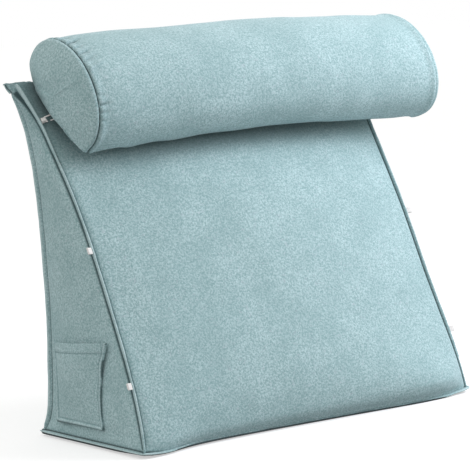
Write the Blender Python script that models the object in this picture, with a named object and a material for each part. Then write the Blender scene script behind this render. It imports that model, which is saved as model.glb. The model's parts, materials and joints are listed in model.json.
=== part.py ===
"""Triangular lumbar cushion with a neck roll.

A filled wedge stands on its base. Its panels meet in stitched flanges, a patch pocket is sewn on
the left side, and ribbon loops are caught in the two front seams. A neck roll lies on the upper
front and hangs by two short straps, whose hooks hold the top loops.

Metres, +Z up. The origin is the middle of the base, on the floor. The sloping front faces -Y and
the left side is at -X.
"""

import math
from collections import namedtuple

import bmesh
import bpy
from mathutils import Vector

MM = 0.001
GAP = 0.3 * MM

# Wedge
TOP_HEIGHT = 493 * MM
RIM_HEIGHT = 7 * MM
SHEET_THICKNESS = 2 * MM
SLOPE_NORMAL = Vector((0.0, -0.896, 0.443))
FRONT_CROWN = 30 * MM
BACK_CROWN = 18 * MM
SIDE_CROWN = 5 * MM
CROWN_FULLNESS = 0.75
EDGE_ROLL = 5 * MM
EDGE_ROLL_RADIUS = 5 * MM
FOOT_SHARE = 0.22
BELLY_REACH = 26 * MM
ACROSS_CELLS = 18
DEPTH_CELLS = 10
HEIGHT_CELLS = 20

# The two front seams and the two back seams, by height over the floor
SeamRow = namedtuple("SeamRow", "height half_width front back")
SEAM_TABLE = [
    SeamRow(7, 300, -118, 118),
    SeamRow(22, 298, -113, 103),
    SeamRow(45, 296, -105, 97),
    SeamRow(75, 294, -94, 97),
    SeamRow(125, 291.5, -72, 98),
    SeamRow(180, 290, -46, 99),
    SeamRow(235, 290, -21, 101),
    SeamRow(290, 290, 6, 104),
    SeamRow(345, 291, 37, 108),
    SeamRow(400, 294, 71, 114),
    SeamRow(440, 298, 95, 122),
    SeamRow(465, 305, 114, 128),
    SeamRow(480, 313, 126, 131),
    SeamRow(491, 325, 130, 134),
    SeamRow(493, 326, 130, 134),
]

# The foot of the front panel: how far it bows forward and how high its seam lies over the floor
FootRow = namedtuple("FootRow", "across forward height")
FOOT_TABLE = [
    FootRow(0.0, 0, 7),
    FootRow(0.06, 5, 4),
    FootRow(0.14, -3, 5.5),
    FootRow(0.3, -3, 5),
    FootRow(0.5, 5, 3.8),
    FootRow(0.7, 16, 3),
    FootRow(0.87, 27, 2.8),
    FootRow(0.95, 17, 3.6),
    FootRow(1.0, 0, 7),
]

# Stitched flanges
FLANGE_WIDTH = 6 * MM
BACK_FLANGE_WIDTH = 7 * MM
FLANGE_THICKNESS = 2.8 * MM
FLANGE_ROOT_THICKNESS = 1.4 * MM
FLANGE_ROOT_GAP = 1.1 * MM
FRONT_FLANGE_WAY = (SLOPE_NORMAL + Vector((0.1, 0.0, 0.0))).normalized()
BACK_FLANGE_WAY = Vector((0.5, 0.87, 0.0))
FLANGE_START_HEIGHT = 13 * MM
EAR_HEIGHT = 479 * MM
FLANGE_STEP = 14 * MM
EAR_SEAM_OFFSET = 2.2 * MM
EAR_TIP_OFFSET = Vector((-1.2, 0.0, 0.8)) * MM
LAID_BACK_SHARE = 0.88
LAID_BACK_OFFSET = Vector((0.0, 2.0, 2.2)) * MM

# Side pocket
POCKET_BACK = 80 * MM
POCKET_BACK_LEAN = 6 * MM
POCKET_WIDTH = 110 * MM
POCKET_TOP_FLARE = 16 * MM
POCKET_FOOT_FLARE = 5 * MM
POCKET_BOTTOM = 27 * MM
POCKET_BOTTOM_RISE = 2 * MM
POCKET_HEIGHT = 114 * MM
POCKET_TOP_RISE = 11 * MM
POCKET_SAG = 3 * MM
POCKET_MOUTH = 12 * MM
POCKET_EDGE_LIFT = 2.5 * MM
POCKET_SEWN_GAP = 0.5 * MM
POCKET_ACROSS_CELLS = 14
POCKET_HEIGHT_CELLS = 12

# Ribbon loops
LOOP_WIDTH = 9 * MM
LOOP_REACH = 8 * MM
LOOP_SEAT = 4.5 * MM
LOOP_OFF_FLANGE = 0.8 * MM
RIBBON_THICKNESS = 1 * MM
LOOP_SLIT = 1.2 * MM
LOOP_WAY = Vector((0.92, -0.25, 0.1))
LoopRow = namedtuple("LoopRow", "name height")
SIDE_LOOPS = [
    LoopRow("middle", 266 * MM),
    LoopRow("bottom", 91 * MM),
]

# Hooks, with the top loops and the straps that they join
HOOK_HEIGHT = 439 * MM
HOOK_SEAT = 6.2 * MM
HOOK_WIRE_RADIUS = 1 * MM
HOOK_WIRE_SIDES = 8
HOOK_LENGTH = 14 * MM
HOOK_WIDTH = 9 * MM
HOOK_MOUTH = 3 * MM
HOOK_SLIT = 2.8 * MM
HOOK_RIBBON_WIDTH = 6 * MM
STRAP_REACH = 22 * MM

# Neck roll
ROLL_HALF_HEIGHT = 95 * MM
ROLL_HALF_THICKNESS = 68.5 * MM
ROLL_TILT = math.radians(47.5)
ROLL_REST_Y = 82 * MM
ROLL_REST_HEIGHT = 450 * MM
ROLL_REST_LEAN = math.radians(46.9)
ROLL_CLEARANCE = 2 * MM
ROLL_CAP_BULGE = 23 * MM
ROLL_AROUND = 40
CAP_RINGS = 6
CAP_FULLNESS = 0.78

# From end seam to end seam: the middle of the roll's section, and its share of the full size
RollRow = namedtuple("RollRow", "x size y height")
ROLL_TABLE = [
    RollRow(-266, 0.969, 73, 474.5),
    RollRow(-260, 0.982, 73, 475),
    RollRow(-250, 0.993, 72.8, 476),
    RollRow(-225, 1.0, 72.4, 478),
    RollRow(-150, 1.0, 71.3, 481.5),
    RollRow(-50, 1.0, 69.7, 485.5),
    RollRow(50, 1.0, 68.1, 487.7),
    RollRow(150, 1.0, 66.5, 488.4),
    RollRow(250, 1.0, 64.9, 487.8),
    RollRow(315, 1.0, 63.9, 486.5),
    RollRow(341, 0.996, 63.5, 485.8),
    RollRow(351, 0.989, 63.3, 485.5),
    RollRow(357, 0.98, 63.2, 485.3),
]

CLOTH_COLOUR = (0.36, 0.56, 0.58, 1.0)
SHADE_CLOTH_COLOUR = (0.05, 0.08, 0.085, 1.0)
RIBBON_COLOUR = (0.85, 0.84, 0.82, 1.0)
HOOK_COLOUR = (0.8, 0.78, 0.76, 1.0)


def make_material(name, colour, roughness, metallic=0.0):
    """A Principled material of one colour."""
    material = bpy.data.materials.new(name)
    material.use_nodes = True
    shader = material.node_tree.nodes["Principled BSDF"]
    shader.inputs["Base Color"].default_value = colour
    shader.inputs["Roughness"].default_value = roughness
    shader.inputs["Metallic"].default_value = metallic
    return material


def finish_object(name, mesh_builder, material, smooth=True):
    """Turns a finished bmesh into an object of its own."""
    bmesh.ops.recalc_face_normals(mesh_builder, faces=mesh_builder.faces[:])
    if mesh_builder.calc_volume(signed=True) < 0:
        bmesh.ops.reverse_faces(mesh_builder, faces=mesh_builder.faces[:])
    mesh = bpy.data.meshes.new(name)
    mesh_builder.to_mesh(mesh)
    mesh_builder.free()
    if smooth:
        mesh.shade_smooth()
        mesh.set_sharp_from_angle(angle=math.radians(40))
    mesh.materials.append(material)
    placed = bpy.data.objects.new(name, mesh)
    bpy.context.scene.collection.objects.link(placed)
    return placed


def edge_dense_stations(cells):
    """Stations from 0 to 1 that crowd towards both ends."""
    return [0.5 - 0.5 * math.cos(math.pi * i / cells) for i in range(cells + 1)]


def smoothstep(value):
    """0 below 0, 1 above 1 and a soft step between."""
    held = min(max(value, 0.0), 1.0)
    return held * held * (3 - 2 * held)


def read_table(rows, key, at):
    """The row of a table at a place between its rows, on a smooth curve through them."""
    keys = [getattr(row, key) for row in rows]
    held = min(max(at, keys[0]), keys[-1])
    i = min(sum(1 for k in keys[1:] if k <= held), len(rows) - 2)
    span = keys[i + 1] - keys[i]
    u = (held - keys[i]) / span

    def slope(j, column):
        before, after = max(j - 1, 0), min(j + 1, len(rows) - 1)
        return (rows[after][column] - rows[before][column]) / (keys[after] - keys[before])

    values = []
    for column in range(len(rows[0])):
        start, end = rows[i][column], rows[i + 1][column]
        leave, arrive = slope(i, column) * span, slope(i + 1, column) * span
        values.append(
            start * (2 * u**3 - 3 * u**2 + 1)
            + leave * (u**3 - 2 * u**2 + u)
            + end * (3 * u**2 - 2 * u**3)
            + arrive * (u**3 - u**2)
        )
    return type(rows[0])(*values)


def seam_at(height):
    """Half width, front seam and back seam of the wedge at a height, in metres."""
    row = read_table(SEAM_TABLE, "height", height / MM)
    return row.half_width * MM, row.front * MM, row.back * MM


def bump(share):
    """A crown's share of its full height, 0 at both edges and 1 in the middle."""
    return math.sin(math.pi * min(max(share, 0.0), 1.0)) ** CROWN_FULLNESS


def roll_off(share, length):
    """The quick rise of a filled panel beside a seam, from 0 at the seam to 1."""
    distance = min(share, 1 - share) * length
    return 1 - math.exp(-max(distance, 0.0) / EDGE_ROLL_RADIUS)


def panel_rise(crown, across, up, across_length, up_length):
    """How far a filled panel stands out of the flat sheet between its seams."""
    rolled = EDGE_ROLL * roll_off(across, across_length) * roll_off(up, up_length)
    return crown * bump(across) * bump(up) + rolled


def belly_height(across, depth):
    """The height of the wedge's underside: flat in the middle, up to the seam at the rim."""
    half_width, front, back = seam_at(RIM_HEIGHT)
    from_side = min(across, 1 - across) * 2 * half_width
    from_front = min(depth, 1 - depth) * (back - front)
    flat = smoothstep(from_side / BELLY_REACH) * smoothstep(from_front / BELLY_REACH)
    flat_height = SHEET_THICKNESS + GAP
    rim_height = RIM_HEIGHT + foot_move(across, 0.0).z * (1 - depth)
    return rim_height + (flat_height - rim_height) * flat


def foot_move(across, up):
    """How the foot of the front panel is moved forward and down at a place along it."""
    foot = read_table(FOOT_TABLE, "across", across)
    share = 1 - smoothstep(up / FOOT_SHARE)
    return Vector((0.0, -foot.forward * MM * share, (foot.height * MM - RIM_HEIGHT) * share))


def wedge_point(across, depth, up):
    """Maps a block from 0 to 1 on each axis onto the filled wedge."""
    height = RIM_HEIGHT + up * (TOP_HEIGHT - RIM_HEIGHT)
    half_width, front, back = seam_at(height)
    slope_length = TOP_HEIGHT - RIM_HEIGHT
    point = Vector(((2 * across - 1) * half_width, front + depth * (back - front), height))
    foot = foot_move(across, up)
    point.y += foot.y * (1 - depth)
    if up == 0.0:
        point.z = belly_height(across, depth)
    else:
        point.z += foot.z * (1 - depth)
    if depth == 0.0:
        point += SLOPE_NORMAL * panel_rise(FRONT_CROWN, across, up, 2 * half_width, slope_length)
    elif depth == 1.0:
        point.y += panel_rise(BACK_CROWN, across, up, 2 * half_width, slope_length)
    if across in (0.0, 1.0):
        outward = 2 * across - 1
        point.x += outward * panel_rise(SIDE_CROWN, depth, up, back - front, slope_length)
    return point


def gridded_block(across_stations, depth_stations, up_stations):
    """A closed block from 0 to 1, cut into cells at the given stations."""
    block = bmesh.new()
    bmesh.ops.create_cube(block, size=1.0)
    bmesh.ops.translate(block, verts=block.verts[:], vec=(0.5, 0.5, 0.5))
    for axis, stations in enumerate((across_stations, depth_stations, up_stations)):
        for station in stations[1:-1]:
            place = Vector((0.0, 0.0, 0.0))
            place[axis] = station
            normal = Vector((0.0, 0.0, 0.0))
            normal[axis] = 1.0
            cut = block.verts[:] + block.edges[:] + block.faces[:]
            bmesh.ops.bisect_plane(block, geom=cut, dist=1e-6, plane_co=place, plane_no=normal)
    return block


def split_quads(body):
    """Splits each quad across its short diagonal, so that two parallel sheets split alike."""
    bmesh.ops.triangulate(body, faces=body.faces[:], quad_method="SHORT_EDGE")


def snapped(value):
    """A block coordinate, with rounding noise at its two ends removed."""
    if abs(value) < 1e-5:
        return 0.0
    if abs(value - 1) < 1e-5:
        return 1.0
    return value


def make_wedge(material):
    """The filled wedge, with a crown on each panel and drawn-in seams."""
    body = gridded_block(
        edge_dense_stations(ACROSS_CELLS),
        edge_dense_stations(DEPTH_CELLS),
        edge_dense_stations(HEIGHT_CELLS),
    )
    for vert in body.verts:
        vert.co = wedge_point(*(snapped(value) for value in vert.co))
    split_quads(body)
    return finish_object("wedge_body", body, material)


def make_base_panel(material):
    """The cloth under the wedge, which turns up to the base seam at its rim."""
    panel = gridded_block(
        edge_dense_stations(ACROSS_CELLS), edge_dense_stations(DEPTH_CELLS), [0.0, 1.0]
    )
    for vert in panel.verts:
        across, depth, up = (snapped(value) for value in vert.co)
        lies_on = wedge_point(across, depth, 0.0)
        drop = GAP + (1 - up) * SHEET_THICKNESS
        vert.co = lies_on - Vector((0.0, 0.0, drop))
    split_quads(panel)
    return finish_object("base_panel", panel, material)


def flange_section(width):
    """The flange's section as pairs of reach from the seam and side."""
    root = FLANGE_ROOT_GAP
    tip = root + width
    half, half_root = FLANGE_THICKNESS / 2, FLANGE_ROOT_THICKNESS / 2
    return [
        (root, -half_root),
        (root + 0.45 * width, -half),
        (tip - 0.25 * half, -0.75 * half),
        (tip - 0.25 * half, 0.75 * half),
        (root + 0.45 * width, half),
        (root, half_root),
    ]


def sweep_section(name, path, reaches, section, material, closed=False):
    """Carries a flat section along a path. Each reach is the way the section points there."""
    body = bmesh.new()
    rings = []
    count = len(path)
    for i, (place, reach) in enumerate(zip(path, reaches)):
        before = path[i - 1] if closed or i > 0 else path[0]
        after = path[(i + 1) % count] if closed or i < count - 1 else path[-1]
        along = (after - before).normalized()
        out = (reach - along * reach.dot(along)).normalized()
        side = along.cross(out)
        rings.append([body.verts.new(place + out * r + side * s) for r, s in section])
    pairs = list(zip(rings, rings[1:]))
    if closed:
        pairs.append((rings[-1], rings[0]))
    for ring, following in pairs:
        for j in range(len(section)):
            k = (j + 1) % len(section)
            body.faces.new((ring[j], ring[k], following[k], following[j]))
    if not closed:
        body.faces.new(rings[0])
        body.faces.new(rings[-1])
    return finish_object(name, body, material)


def long_seam(side, at_front):
    """Points up a front or back seam. Side is -1 for the left and 1 for the right."""
    steps = round((EAR_HEIGHT - FLANGE_START_HEIGHT) / FLANGE_STEP)
    points = []
    for i in range(steps + 1):
        height = FLANGE_START_HEIGHT + (EAR_HEIGHT - FLANGE_START_HEIGHT) * i / steps
        half_width, front, back = seam_at(height)
        points.append(Vector((side * half_width, front if at_front else back, height)))
    return points


def make_long_seams(material):
    """The four stitched flanges that run from the base corners up to the ears."""
    ways = {"front": FRONT_FLANGE_WAY, "back": BACK_FLANGE_WAY}
    for side, side_name in ((-1, "left"), (1, "right")):
        for end_name, way in ways.items():
            at_front = end_name == "front"
            path = long_seam(side, at_front)
            reach = Vector((side * way.x, way.y, way.z))
            width = FLANGE_WIDTH if at_front else BACK_FLANGE_WIDTH
            sweep_section(
                f"seam_{end_name}_{side_name}",
                path,
                [reach] * len(path),
                flange_section(width),
                material,
            )


def make_base_seam(material):
    """The flange round the base, one closed ring with soft corners."""
    across = edge_dense_stations(ACROSS_CELLS)
    depth = edge_dense_stations(DEPTH_CELLS)
    loop = [(a, 0.0) for a in across]
    loop += [(1.0, d) for d in depth[1:]]
    loop += [(a, 1.0) for a in reversed(across[:-1])]
    loop += [(0.0, d) for d in reversed(depth[1:-1])]
    path, reaches = [], []
    for a, d in loop:
        path.append(wedge_point(a, d, 0.0))
        sideways = {0.0: -1.0, 1.0: 1.0}.get(a, 0.0)
        forwards = {0.0: -1.0, 1.0: 1.0}.get(d, 0.0)
        reaches.append(Vector((sideways, forwards, 0.0)).normalized())
    sweep_section("seam_base", path, reaches, flange_section(FLANGE_WIDTH), material, closed=True)


def make_top_seam(material):
    """The flange along the top edge. The roll lays it back except at the left ear."""
    half_width, front, back = seam_at(TOP_HEIGHT)
    low_half_width, low_front, low_back = seam_at(EAR_HEIGHT)
    tip = Vector((half_width, (front + back) / 2, TOP_HEIGHT))
    low = Vector((low_half_width, (low_front + low_back) / 2, EAR_HEIGHT))
    steps = round(2 * half_width / (2 * FLANGE_STEP))
    low.x, tip.x = -low.x, -tip.x
    ear_way = Vector((-0.9, 0.0, -0.45))
    path = [(low.lerp(tip, share) + ear_way * EAR_SEAM_OFFSET, ear_way) for share in (0.25, 0.6)]
    path.append((tip + EAR_TIP_OFFSET, Vector((-0.95, 0.0, 0.3))))
    for i in range(1, steps):
        share = 2 * i / steps - 1
        upright = smoothstep((-share - LAID_BACK_SHARE) / (1 - LAID_BACK_SHARE))
        lean = Vector((0.35 * share**5, 0.1 + 1.2 * (1 - upright), 0.12 + upright))
        place = Vector((share * half_width, tip.y, tip.z)) + LAID_BACK_OFFSET * (1 - upright)
        path.append((place, lean))
    right_tip = Vector((half_width, tip.y, tip.z)) + LAID_BACK_OFFSET
    path.append((right_tip, Vector((0.3, 1.3, 0.12))))
    sweep_section(
        "seam_top",
        [place for place, _ in path],
        [reach for _, reach in path],
        flange_section(FLANGE_WIDTH),
        material,
    )


def side_reach(y, height):
    """How far the side panel stands from the middle plane at a place on it."""
    half_width, front, back = seam_at(height)
    depth = min(max((y - front) / (back - front), 0.0), 1.0)
    up = (height - RIM_HEIGHT) / (TOP_HEIGHT - RIM_HEIGHT)
    return half_width + panel_rise(SIDE_CROWN, depth, up, back - front, TOP_HEIGHT - RIM_HEIGHT)


def pocket_point(across, up, outer):
    """A point of the pocket's cloth. Across runs from its back edge to its front edge."""
    rise = POCKET_TOP_RISE * (across - 0.5) * up + POCKET_BOTTOM_RISE * (across - 0.5) * (1 - up)
    sag = POCKET_SAG * math.sin(math.pi * across) * up
    flare = POCKET_TOP_FLARE * up**3 + POCKET_FOOT_FLARE * (1 - up) ** 4
    back = POCKET_BACK - POCKET_BACK_LEAN * (1 - up)
    y = back - (POCKET_WIDTH - POCKET_BACK_LEAN * (1 - up) + flare) * across
    height = POCKET_BOTTOM + POCKET_HEIGHT * up + rise - sag
    opened = POCKET_MOUTH * math.sin(math.pi * across) ** 0.8 * smoothstep(up * 1.1)
    lifted = POCKET_EDGE_LIFT * across**4 * up
    stand = POCKET_SEWN_GAP + opened + lifted
    reach = side_reach(y, height) + stand + (SHEET_THICKNESS if outer else 0.0)
    return Vector((-reach, y, height))


def make_pocket(material):
    """The patch pocket on the left side: sewn at its sides and bottom, open at the top."""
    sheet = gridded_block(
        edge_dense_stations(POCKET_ACROSS_CELLS),
        [0.0, 1.0],
        edge_dense_stations(POCKET_HEIGHT_CELLS),
    )
    for vert in sheet.verts:
        across, outer, up = (snapped(value) for value in vert.co)
        vert.co = pocket_point(across, up, outer > 0.5)
    return finish_object("side_pocket", sheet, material)


def folded_ribbon_outline(reach, slit, thickness, turn_steps=5):
    """A ribbon folded back on itself, as pairs of reach and side."""
    inner, outer = slit / 2, slit / 2 + thickness
    straight = reach - outer
    turn = [math.pi / 2 - math.pi * i / turn_steps for i in range(turn_steps + 1)]
    outside = [(straight + outer * math.cos(t), outer * math.sin(t)) for t in turn]
    inside = [(straight + inner * math.cos(t), inner * math.sin(t)) for t in reversed(turn)]
    return [(0.0, outer)] + outside + [(0.0, -outer), (0.0, -inner)] + inside + [(0.0, inner)]


def make_ribbon(name, root, out, along, width, outline, material):
    """Extrudes a folded ribbon's outline over the ribbon's width."""
    out = out.normalized()
    along = (along - out * along.dot(out)).normalized()
    side = along.cross(out)
    body = bmesh.new()
    start = root - along * width / 2
    verts = [body.verts.new(start + out * r + side * s) for r, s in outline]
    face = body.faces.new(verts)
    pushed = bmesh.ops.extrude_face_region(body, geom=[face])["geom"]
    moved = [item for item in pushed if isinstance(item, bmesh.types.BMVert)]
    bmesh.ops.translate(body, verts=moved, vec=along * width)
    bmesh.ops.triangulate(body, faces=body.faces[:])
    return finish_object(name, body, material)


def seam_frame(side, height):
    """A point on a front seam and the way the seam runs there."""
    half_width, front, _ = seam_at(height)
    higher_half_width, higher_front, _ = seam_at(height + 5 * MM)
    place = Vector((side * half_width, front, height))
    higher = Vector((side * higher_half_width, higher_front, height + 5 * MM))
    return place, (higher - place).normalized()


def flange_seat(side, height, seat, over_front):
    """Where a ribbon leaves the face of a front flange, and the way the seam runs there."""
    place, along = seam_frame(side, height)
    way = Vector((side * FRONT_FLANGE_WAY.x, FRONT_FLANGE_WAY.y, FRONT_FLANGE_WAY.z))
    off_face = FLANGE_THICKNESS / 2 + LOOP_OFF_FLANGE
    sideways = -side if over_front else side
    return place + way * seat + Vector((sideways * off_face, 0.0, 0.0)), along


def make_side_loops(material):
    """The white ribbon loops that stand out of the front seams over the side panels."""
    outline = folded_ribbon_outline(LOOP_REACH, LOOP_SLIT, RIBBON_THICKNESS)
    for side, side_name in ((-1, "left"), (1, "right")):
        for row in SIDE_LOOPS:
            root, along = flange_seat(side, row.height, LOOP_SEAT, over_front=False)
            out = Vector((side * LOOP_WAY.x, LOOP_WAY.y, LOOP_WAY.z))
            make_ribbon(
                f"loop_{row.name}_{side_name}", root, out, along, LOOP_WIDTH, outline, material
            )


def hook_path():
    """The bent wire of a hook, as pairs along its length and its width."""
    half_width = HOOK_WIDTH / 2
    corner = 2 * HOOK_WIRE_RADIUS
    corners = [
        (HOOK_LENGTH - corner, half_width - corner),
        (HOOK_LENGTH - corner, -half_width + corner),
        (corner, -half_width + corner),
        (corner, half_width - corner),
    ]
    points = [(HOOK_MOUTH + corner + HOOK_WIRE_RADIUS, half_width)]
    for i, (x, y) in enumerate(corners):
        start = math.pi / 2 - i * math.pi / 2
        for step in range(4):
            turn = start - step * math.pi / 6
            points.append((x + corner * math.cos(turn), y + corner * math.sin(turn)))
    return points


def wire_section():
    """The round section of a hook's wire."""
    turns = [2 * math.pi * i / HOOK_WIRE_SIDES for i in range(HOOK_WIRE_SIDES)]
    return [(HOOK_WIRE_RADIUS * math.cos(t), HOOK_WIRE_RADIUS * math.sin(t)) for t in turns]


def make_hooks(ribbon, plastic, cloth):
    """On each side a top loop, the open hook through it and the strap that the hook carries."""
    loop_outline = folded_ribbon_outline(LOOP_REACH, HOOK_SLIT, RIBBON_THICKNESS)
    strap_outline = folded_ribbon_outline(STRAP_REACH, HOOK_SLIT, RIBBON_THICKNESS)
    turn = HOOK_SLIT / 2 + RIBBON_THICKNESS
    up_rest, off_rest = rest_ways()
    rest_point = Vector((0.0, ROLL_REST_Y, ROLL_REST_HEIGHT))
    for side, side_name in ((-1, "left"), (1, "right")):
        root, _ = flange_seat(side, HOOK_HEIGHT, HOOK_SEAT, over_front=True)
        behind_roll = (root - rest_point).dot(off_rest)
        span = LOOP_REACH - turn + HOOK_LENGTH
        lift = math.asin((behind_roll - turn - 2 * GAP) / span)
        out = Vector((-side * math.cos(lift), 0.0, 0.0)) - off_rest * math.sin(lift)
        make_ribbon(
            f"loop_top_{side_name}", root, out, up_rest, HOOK_RIBBON_WIDTH, loop_outline, ribbon
        )
        first_bar = root + out * (LOOP_REACH - turn)
        path = [first_bar + out * x - up_rest * y for x, y in hook_path()]
        upright = out.cross(up_rest)
        sweep_section(f"hook_{side_name}", path, [upright] * len(path), wire_section(), plastic)
        outward = Vector((side, 0.0, 0.0))
        strap_root = first_bar + out * HOOK_LENGTH - outward * (STRAP_REACH - turn)
        make_ribbon(
            f"strap_{side_name}",
            strap_root,
            outward,
            up_rest,
            HOOK_RIBBON_WIDTH,
            strap_outline,
            cloth,
        )


def front_surface_y(x, height):
    """Where the front panel's outer face lies at a place across it and a height."""
    full = TOP_HEIGHT - RIM_HEIGHT
    level = height
    for _ in range(6):
        level = min(max(level, RIM_HEIGHT), TOP_HEIGHT)
        half_width, front, _ = seam_at(level)
        across = min(max(0.5 + 0.5 * x / half_width, 0.0), 1.0)
        up = (level - RIM_HEIGHT) / full
        rise = panel_rise(FRONT_CROWN, across, up, 2 * half_width, full)
        level = height - SLOPE_NORMAL.z * rise
    return front + SLOPE_NORMAL.y * rise + foot_move(across, up).y


def rest_ways():
    """The way up the flat back on which the roll rests, and the way out of that back."""
    lean = ROLL_REST_LEAN
    up_rest = Vector((0.0, math.sin(lean), math.cos(lean)))
    off_rest = Vector((0.0, math.cos(lean), -math.sin(lean)))
    return up_rest, off_rest


def rest_limit(x, height):
    """How far back the roll may reach: its flat back, and no further than the front panel."""
    flat = ROLL_REST_Y + (height - ROLL_REST_HEIGHT) * math.tan(ROLL_REST_LEAN)
    if height > TOP_HEIGHT:
        return flat
    return min(flat, front_surface_y(x, height) - ROLL_CLEARANCE)


def roll_rings():
    """The roll's rings from its left pole to its right pole, as rows of the roll table."""
    caps = []
    for row, side in ((ROLL_TABLE[0], -1), (ROLL_TABLE[-1], 1)):
        rings = []
        for i in range(1, CAP_RINGS + 1):
            turn = math.pi / 2 * i / CAP_RINGS
            size = row.size * max(math.cos(turn), 0.0) ** CAP_FULLNESS
            x = row.x + side * ROLL_CAP_BULGE / MM * math.sin(turn)
            rings.append(RollRow(x, size, row.y, row.height))
        caps.append(rings)
    return caps[0][::-1] + ROLL_TABLE + caps[1]


def make_roll(material):
    """The neck roll: an oval filled tube with crowned caps, flattened where it rests."""
    rings = roll_rings()
    last = len(rings) - 1
    body = bmesh.new()
    bmesh.ops.create_uvsphere(body, u_segments=ROLL_AROUND, v_segments=last, radius=1.0)
    up_way = Vector((0.0, math.sin(ROLL_TILT), math.cos(ROLL_TILT)))
    out_way = Vector((0.0, -math.cos(ROLL_TILT), math.sin(ROLL_TILT)))
    for vert in body.verts:
        latitude = math.acos(min(max(vert.co.z, -1.0), 1.0))
        row = rings[round(latitude / math.pi * last)]
        turn = math.atan2(vert.co.y, vert.co.x)
        tall = ROLL_HALF_HEIGHT * row.size * math.cos(turn)
        thick = ROLL_HALF_THICKNESS * row.size * math.sin(turn)
        point = Vector((row.x, row.y, row.height)) * MM + up_way * tall + out_way * thick
        point.y = min(point.y, rest_limit(point.x, point.z))
        vert.co = point
    split_quads(body)
    return finish_object("neck_roll", body, material)


def clear_scene():
    """Removes whatever the scene holds."""
    for old in list(bpy.data.objects):
        bpy.data.objects.remove(old, do_unlink=True)


def build_cushion():
    """Builds each piece of the cushion."""
    clear_scene()
    cloth = make_material("cloth", CLOTH_COLOUR, 0.9)
    shade_cloth = make_material("base_cloth", SHADE_CLOTH_COLOUR, 0.9)
    ribbon = make_material("ribbon", RIBBON_COLOUR, 0.7)
    plastic = make_material("hook_plastic", HOOK_COLOUR, 0.35)
    make_wedge(cloth)
    make_base_panel(shade_cloth)
    make_long_seams(cloth)
    make_base_seam(cloth)
    make_top_seam(cloth)
    make_pocket(cloth)
    make_side_loops(ribbon)
    make_hooks(ribbon, plastic, cloth)
    make_roll(cloth)


build_cushion()
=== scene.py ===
"""Looks of the triangular lumbar cushion: pile cloth over a filled wedge and its neck roll.

Each sub-assembly is a class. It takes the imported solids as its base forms, refines them and
dresses them. Metres, +Z up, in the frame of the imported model.
"""

from __future__ import annotations

import json
import logging
import math
from collections.abc import Callable, Sequence
from dataclasses import dataclass, field
from enum import Enum

import bmesh
import bpy
import numpy as np
from mathutils import Matrix, Vector, noise
from mathutils.bvhtree import BVHTree

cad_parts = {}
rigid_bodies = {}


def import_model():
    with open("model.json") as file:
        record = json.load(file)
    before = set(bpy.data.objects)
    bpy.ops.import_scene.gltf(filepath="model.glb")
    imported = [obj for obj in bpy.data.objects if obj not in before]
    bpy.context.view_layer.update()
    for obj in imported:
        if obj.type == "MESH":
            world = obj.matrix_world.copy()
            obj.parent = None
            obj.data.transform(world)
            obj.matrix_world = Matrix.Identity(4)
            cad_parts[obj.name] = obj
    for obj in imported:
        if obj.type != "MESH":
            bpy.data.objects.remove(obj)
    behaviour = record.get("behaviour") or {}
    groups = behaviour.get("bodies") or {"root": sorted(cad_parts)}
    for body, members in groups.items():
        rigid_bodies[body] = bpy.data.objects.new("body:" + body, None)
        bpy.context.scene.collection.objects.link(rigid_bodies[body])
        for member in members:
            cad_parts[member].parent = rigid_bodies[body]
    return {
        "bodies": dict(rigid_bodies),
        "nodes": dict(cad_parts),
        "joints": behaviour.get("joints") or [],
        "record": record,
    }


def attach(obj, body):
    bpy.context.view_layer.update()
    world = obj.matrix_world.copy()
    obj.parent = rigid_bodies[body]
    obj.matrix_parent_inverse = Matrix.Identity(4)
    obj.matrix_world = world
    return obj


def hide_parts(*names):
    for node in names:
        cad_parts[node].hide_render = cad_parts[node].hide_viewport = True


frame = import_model()

LOG = logging.getLogger("cushion")
MM = 0.001
ROOT_BODY = "root"
SHADE_LAYER = "seam_shade"
MERGE_DISTANCE = 0.002 * MM
PAIR_BEND = math.radians(50)
PAIR_SKEW = math.radians(70)

Colour = tuple[float, float, float]
Points = np.ndarray


class Side(Enum):
    """The two ends of the cushion, each with the ending of its pieces' names."""

    LEFT = "left"
    RIGHT = "right"


# Shader building


class Value:
    """A number socket that can be used in a plain expression."""

    def __init__(self, graph: ShaderGraph, socket: bpy.types.NodeSocket) -> None:
        """Wraps a socket of a graph."""
        self.graph = graph
        self.socket = socket

    def _math(self, operation: str, left: object, right: object) -> Value:
        """Adds one Math node."""
        found = self.graph.add("ShaderNodeMath", {"operation": operation}, {0: left, 1: right})
        return found.value(0)

    def __add__(self, other: object) -> Value:
        """The sum of two values."""
        return self._math("ADD", self, other)

    __radd__ = __add__

    def __mul__(self, other: object) -> Value:
        """The product of two values."""
        return self._math("MULTIPLY", self, other)

    __rmul__ = __mul__

    def __rsub__(self, other: object) -> Value:
        """Another value less this one."""
        return self._math("SUBTRACT", other, self)

    def clipped(self, low: float, high: float) -> Value:
        """This value's place between two limits, from 0 to 1."""
        settings = {"interpolation_type": "SMOOTHSTEP"}
        return self.graph.add("ShaderNodeMapRange", settings, {0: self, 1: low, 2: high}).value(0)


class AddedNode:
    """A node that was added to a graph."""

    def __init__(self, graph: ShaderGraph, node: bpy.types.Node) -> None:
        """Wraps a node of a graph."""
        self.graph = graph
        self.node = node

    def value(self, output: int | str) -> Value:
        """One of the node's outputs as a value."""
        return Value(self.graph, self.node.outputs[output])


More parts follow.
